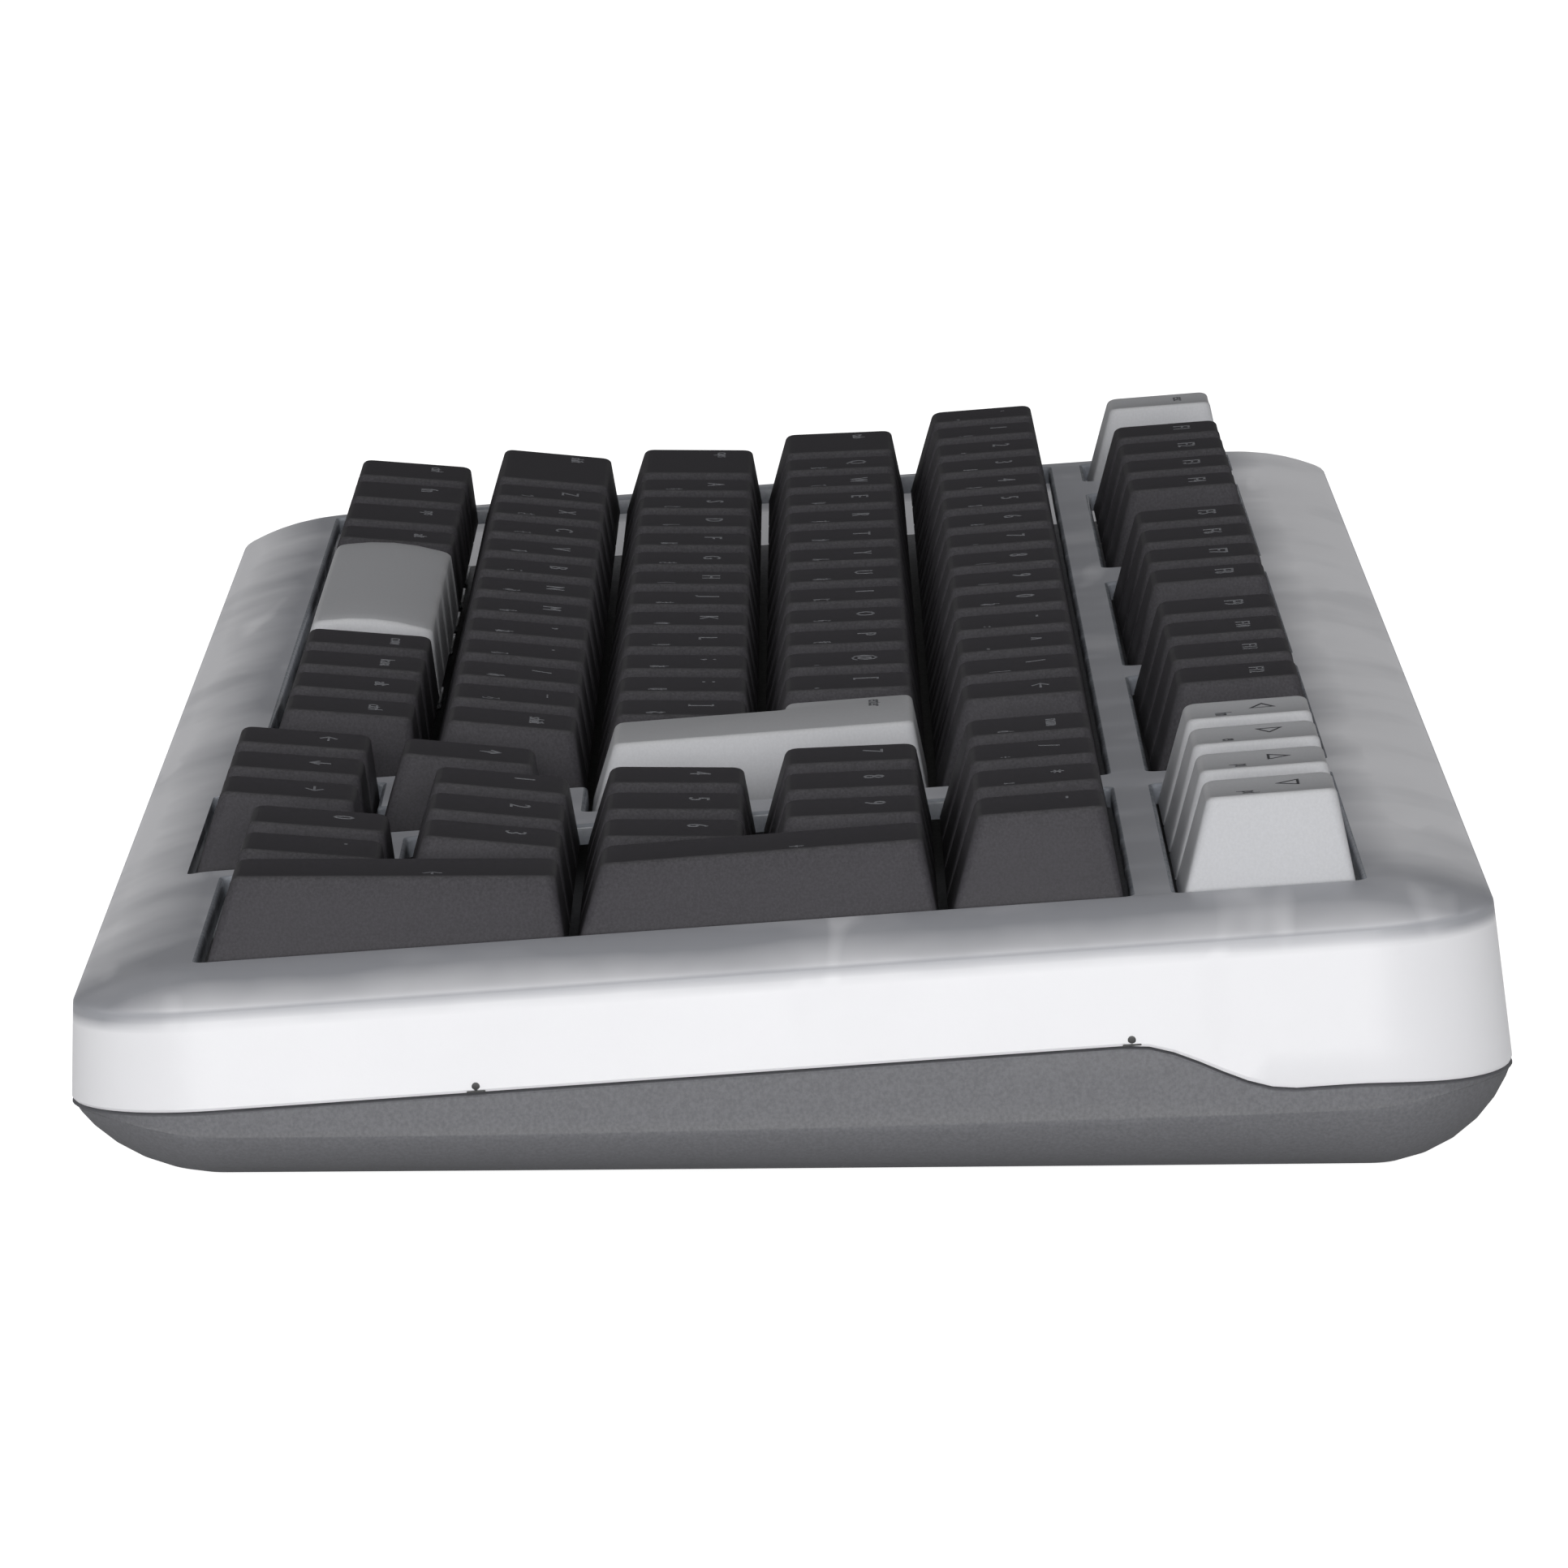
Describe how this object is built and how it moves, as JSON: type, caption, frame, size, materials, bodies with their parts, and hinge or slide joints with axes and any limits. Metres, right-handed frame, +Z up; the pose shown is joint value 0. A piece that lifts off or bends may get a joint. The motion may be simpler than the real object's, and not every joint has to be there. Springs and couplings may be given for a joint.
{
  "type": "mechanical keyboard",
  "caption": "Compact full-layout mechanical keyboard with a frosted rounded top case, dark lower tray, charcoal and light grey tapered keycaps, and flip-out rear feet.",
  "frame": {"origin": "middle of the footprint, on the table top", "axes": "+X along the keyboard towards the number pad, +Y from the user to the rear, +Z up"},
  "size_m": [0.4008, 0.1456, 0.0391],
  "materials": {
    "frosted_shell": "frosted, slightly clear polycarbonate, satin",
    "dark_tray": "fine textured dark grey",
    "dark_keycap": "fine grained charcoal",
    "light_keycap": "fine grained light grey",
    "plate_metal": "black painted plate",
    "switch_plastic": "clear moulded housing",
    "board": "black solder mask",
    "silicone": "soft matt sheet",
    "port_metal": "plated steel shell",
    "switch_black": "moulded black",
    "battery_wrap": "heat-shrunk film",
    "foot_rubber": "soft matt",
    "foot_plastic": "fine textured",
    "screw_steel": "machined"
  },
  "bodies": {
    "case": {"top_case": "frosted_shell", "bottom_case": "dark_tray", "switch_plate": "plate_metal", "switch_housings": "switch_plastic", "circuit_board": "board", "silicone_pad": "silicone", "usb_port": "port_metal", "power_switch": "switch_black", "case_screw_1": "screw_steel", "case_screw_2": "screw_steel", "case_screw_3": "screw_steel", "case_screw_4": "screw_steel", "battery": "battery_wrap", "left_front_pad": "foot_rubber", "left_rear_pad": "foot_rubber", "right_front_pad": "foot_rubber", "right_rear_pad": "foot_rubber"},
    "esc_key_body": {"esc_key": "light_keycap"},
    "f1_to_f4_keys_body": {"f1_to_f4_keys": "dark_keycap"},
    "f5_to_f8_keys_body": {"f5_to_f8_keys": "dark_keycap"},
    "f9_to_f12_keys_body": {"f9_to_f12_keys": "dark_keycap"},
    "corner_key_1_body": {"corner_key_1": "light_keycap"},
    "corner_key_2_body": {"corner_key_2": "light_keycap"},
    "corner_key_3_body": {"corner_key_3": "light_keycap"},
    "corner_key_4_body": {"corner_key_4": "light_keycap"},
    "number_row_keys_body": {"number_row_keys": "dark_keycap"},
    "backspace_key_body": {"backspace_key": "dark_keycap"},
    "num_lock_key_body": {"num_lock_key": "dark_keycap"},
    "numpad_divide_key_body": {"numpad_divide_key": "dark_keycap"},
    "numpad_multiply_key_body": {"numpad_multiply_key": "dark_keycap"},
    "numpad_minus_key_body": {"numpad_minus_key": "dark_keycap"},
    "tab_key_body": {"tab_key": "dark_keycap"},
    "upper_letter_keys_body": {"upper_letter_keys": "dark_keycap"},
    "enter_key_body": {"enter_key": "light_keycap"},
    "caps_lock_key_body": {"caps_lock_key": "dark_keycap"},
    "home_row_keys_body": {"home_row_keys": "dark_keycap"},
    "left_shift_key_body": {"left_shift_key": "dark_keycap"},
    "lower_letter_keys_body": {"lower_letter_keys": "dark_keycap"},
    "right_shift_key_body": {"right_shift_key": "dark_keycap"},
    "left_control_key_body": {"left_control_key": "dark_keycap"},
    "function_key_body": {"function_key": "dark_keycap"},
    "left_system_key_body": {"left_system_key": "dark_keycap"},
    "left_alt_key_body": {"left_alt_key": "dark_keycap"},
    "space_bar_body": {"space_bar": "light_keycap"},
    "right_modifier_keys_body": {"right_modifier_keys": "dark_keycap"},
    "up_arrow_key_body": {"up_arrow_key": "dark_keycap"},
    "left_arrow_key_body": {"left_arrow_key": "dark_keycap"},
    "down_arrow_key_body": {"down_arrow_key": "dark_keycap"},
    "right_arrow_key_body": {"right_arrow_key": "dark_keycap"},
    "numpad_7_to_9_keys_body": {"numpad_7_to_9_keys": "dark_keycap"},
    "numpad_4_to_6_keys_body": {"numpad_4_to_6_keys": "dark_keycap"},
    "numpad_1_to_3_keys_body": {"numpad_1_to_3_keys": "dark_keycap"},
    "numpad_0_and_point_keys_body": {"numpad_0_and_point_keys": "dark_keycap"},
    "numpad_plus_key_body": {"numpad_plus_key": "dark_keycap"},
    "numpad_enter_key_body": {"numpad_enter_key": "dark_keycap"},
    "power_switch_slider": {"power_switch_knob": "switch_black"},
    "left_foot": {"left_flip_foot": "foot_plastic"},
    "right_foot": {"right_flip_foot": "foot_plastic"}
  },
  "joints": [
    {"name": "esc_key_press", "type": "slide", "parent": "case", "child": "esc_key_body", "axis": [0, 0.0654, -0.9979], "range_m": [0, 0.0038], "stiffness_N_per_m": 80, "springref_m": -0.0035},
    {"name": "f1_to_f4_keys_press", "type": "slide", "parent": "case", "child": "f1_to_f4_keys_body", "axis": [0, 0.0654, -0.9979], "range_m": [0, 0.0038], "stiffness_N_per_m": 320, "springref_m": -0.0035},
    {"name": "f5_to_f8_keys_press", "type": "slide", "parent": "case", "child": "f5_to_f8_keys_body", "axis": [0, 0.0654, -0.9979], "range_m": [0, 0.0038], "stiffness_N_per_m": 320, "springref_m": -0.0035},
    {"name": "f9_to_f12_keys_press", "type": "slide", "parent": "case", "child": "f9_to_f12_keys_body", "axis": [0, 0.0654, -0.9979], "range_m": [0, 0.0038], "stiffness_N_per_m": 320, "springref_m": -0.0035},
    {"name": "corner_key_1_press", "type": "slide", "parent": "case", "child": "corner_key_1_body", "axis": [0, 0.0654, -0.9979], "range_m": [0, 0.0038], "stiffness_N_per_m": 80, "springref_m": -0.0035},
    {"name": "corner_key_2_press", "type": "slide", "parent": "case", "child": "corner_key_2_body", "axis": [0, 0.0654, -0.9979], "range_m": [0, 0.0038], "stiffness_N_per_m": 80, "springref_m": -0.0035},
    {"name": "corner_key_3_press", "type": "slide", "parent": "case", "child": "corner_key_3_body", "axis": [0, 0.0654, -0.9979], "range_m": [0, 0.0038], "stiffness_N_per_m": 80, "springref_m": -0.0035},
    {"name": "corner_key_4_press", "type": "slide", "parent": "case", "child": "corner_key_4_body", "axis": [0, 0.0654, -0.9979], "range_m": [0, 0.0038], "stiffness_N_per_m": 80, "springref_m": -0.0035},
    {"name": "number_row_keys_press", "type": "slide", "parent": "case", "child": "number_row_keys_body", "axis": [0, 0.0654, -0.9979], "range_m": [0, 0.0038], "stiffness_N_per_m": 1120, "springref_m": -0.0035},
    {"name": "backspace_key_press", "type": "slide", "parent": "case", "child": "backspace_key_body", "axis": [0, 0.0654, -0.9979], "range_m": [0, 0.0038], "stiffness_N_per_m": 80, "springref_m": -0.0035},
    {"name": "num_lock_key_press", "type": "slide", "parent": "case", "child": "num_lock_key_body", "axis": [0, 0.0654, -0.9979], "range_m": [0, 0.0038], "stiffness_N_per_m": 80, "springref_m": -0.0035},
    {"name": "numpad_divide_key_press", "type": "slide", "parent": "case", "child": "numpad_divide_key_body", "axis": [0, 0.0654, -0.9979], "range_m": [0, 0.0038], "stiffness_N_per_m": 80, "springref_m": -0.0035},
    {"name": "numpad_multiply_key_press", "type": "slide", "parent": "case", "child": "numpad_multiply_key_body", "axis": [0, 0.0654, -0.9979], "range_m": [0, 0.0038], "stiffness_N_per_m": 80, "springref_m": -0.0035},
    {"name": "numpad_minus_key_press", "type": "slide", "parent": "case", "child": "numpad_minus_key_body", "axis": [0, 0.0654, -0.9979], "range_m": [0, 0.0038], "stiffness_N_per_m": 80, "springref_m": -0.0035},
    {"name": "tab_key_press", "type": "slide", "parent": "case", "child": "tab_key_body", "axis": [0, 0.0654, -0.9979], "range_m": [0, 0.0038], "stiffness_N_per_m": 80, "springref_m": -0.0035},
    {"name": "upper_letter_keys_press", "type": "slide", "parent": "case", "child": "upper_letter_keys_body", "axis": [0, 0.0654, -0.9979], "range_m": [0, 0.0038], "stiffness_N_per_m": 960, "springref_m": -0.0035},
    {"name": "enter_key_press", "type": "slide", "parent": "case", "child": "enter_key_body", "axis": [0, 0.0654, -0.9979], "range_m": [0, 0.0038], "stiffness_N_per_m": 80, "springref_m": -0.0035},
    {"name": "caps_lock_key_press", "type": "slide", "parent": "case", "child": "caps_lock_key_body", "axis": [0, 0.0654, -0.9979], "range_m": [0, 0.0038], "stiffness_N_per_m": 80, "springref_m": -0.0035},
    {"name": "home_row_keys_press", "type": "slide", "parent": "case", "child": "home_row_keys_body", "axis": [0, 0.0654, -0.9979], "range_m": [0, 0.0038], "stiffness_N_per_m": 960, "springref_m": -0.0035},
    {"name": "left_shift_key_press", "type": "slide", "parent": "case", "child": "left_shift_key_body", "axis": [0, 0.0654, -0.9979], "range_m": [0, 0.0038], "stiffness_N_per_m": 80, "springref_m": -0.0035},
    {"name": "lower_letter_keys_press", "type": "slide", "parent": "case", "child": "lower_letter_keys_body", "axis": [0, 0.0654, -0.9979], "range_m": [0, 0.0038], "stiffness_N_per_m": 880, "springref_m": -0.0035},
    {"name": "right_shift_key_press", "type": "slide", "parent": "case", "child": "right_shift_key_body", "axis": [0, 0.0654, -0.9979], "range_m": [0, 0.0038], "stiffness_N_per_m": 80, "springref_m": -0.0035},
    {"name": "left_control_key_press", "type": "slide", "parent": "case", "child": "left_control_key_body", "axis": [0, 0.0654, -0.9979], "range_m": [0, 0.0038], "stiffness_N_per_m": 80, "springref_m": -0.0035},
    {"name": "function_key_press", "type": "slide", "parent": "case", "child": "function_key_body", "axis": [0, 0.0654, -0.9979], "range_m": [0, 0.0038], "stiffness_N_per_m": 80, "springref_m": -0.0035},
    {"name": "left_system_key_press", "type": "slide", "parent": "case", "child": "left_system_key_body", "axis": [0, 0.0654, -0.9979], "range_m": [0, 0.0038], "stiffness_N_per_m": 80, "springref_m": -0.0035},
    {"name": "left_alt_key_press", "type": "slide", "parent": "case", "child": "left_alt_key_body", "axis": [0, 0.0654, -0.9979], "range_m": [0, 0.0038], "stiffness_N_per_m": 80, "springref_m": -0.0035},
    {"name": "space_bar_press", "type": "slide", "parent": "case", "child": "space_bar_body", "axis": [0, 0.0654, -0.9979], "range_m": [0, 0.0038], "stiffness_N_per_m": 80, "springref_m": -0.0035},
    {"name": "right_modifier_keys_press", "type": "slide", "parent": "case", "child": "right_modifier_keys_body", "axis": [0, 0.0654, -0.9979], "range_m": [0, 0.0038], "stiffness_N_per_m": 320, "springref_m": -0.0035},
    {"name": "up_arrow_key_press", "type": "slide", "parent": "case", "child": "up_arrow_key_body", "axis": [0, 0.0654, -0.9979], "range_m": [0, 0.0038], "stiffness_N_per_m": 80, "springref_m": -0.0035},
    {"name": "left_arrow_key_press", "type": "slide", "parent": "case", "child": "left_arrow_key_body", "axis": [0, 0.0654, -0.9979], "range_m": [0, 0.0038], "stiffness_N_per_m": 80, "springref_m": -0.0035},
    {"name": "down_arrow_key_press", "type": "slide", "parent": "case", "child": "down_arrow_key_body", "axis": [0, 0.0654, -0.9979], "range_m": [0, 0.0038], "stiffness_N_per_m": 80, "springref_m": -0.0035},
    {"name": "right_arrow_key_press", "type": "slide", "parent": "case", "child": "right_arrow_key_body", "axis": [0, 0.0654, -0.9979], "range_m": [0, 0.0038], "stiffness_N_per_m": 80, "springref_m": -0.0035},
    {"name": "numpad_7_to_9_keys_press", "type": "slide", "parent": "case", "child": "numpad_7_to_9_keys_body", "axis": [0, 0.0654, -0.9979], "range_m": [0, 0.0038], "stiffness_N_per_m": 240, "springref_m": -0.0035},
    {"name": "numpad_4_to_6_keys_press", "type": "slide", "parent": "case", "child": "numpad_4_to_6_keys_body", "axis": [0, 0.0654, -0.9979], "range_m": [0, 0.0038], "stiffness_N_per_m": 240, "springref_m": -0.0035},
    {"name": "numpad_1_to_3_keys_press", "type": "slide", "parent": "case", "child": "numpad_1_to_3_keys_body", "axis": [0, 0.0654, -0.9979], "range_m": [0, 0.0038], "stiffness_N_per_m": 240, "springref_m": -0.0035},
    {"name": "numpad_0_and_point_keys_press", "type": "slide", "parent": "case", "child": "numpad_0_and_point_keys_body", "axis": [0, 0.0654, -0.9979], "range_m": [0, 0.0038], "stiffness_N_per_m": 160, "springref_m": -0.0035},
    {"name": "numpad_plus_key_press", "type": "slide", "parent": "case", "child": "numpad_plus_key_body", "axis": [0, 0.0654, -0.9979], "range_m": [0, 0.0038], "stiffness_N_per_m": 80, "springref_m": -0.0035},
    {"name": "numpad_enter_key_press", "type": "slide", "parent": "case", "child": "numpad_enter_key_body", "axis": [0, 0.0654, -0.9979], "range_m": [0, 0.0038], "stiffness_N_per_m": 80, "springref_m": -0.0035},
    {"name": "power_switch_slide", "type": "slide", "parent": "case", "child": "power_switch_slider", "axis": [1, 0, 0], "range_m": [0, 0.004]},
    {"name": "left_foot_fold", "type": "hinge", "parent": "case", "child": "left_foot", "pos_m": [-0.1511, 0.04852, 0.0029], "axis": [1, 0, 0], "range_deg": [0, 82]},
    {"name": "right_foot_fold", "type": "hinge", "parent": "case", "child": "right_foot", "pos_m": [0.1529, 0.04852, 0.0029], "axis": [1, 0, 0], "range_deg": [0, 82]}
  ]
}
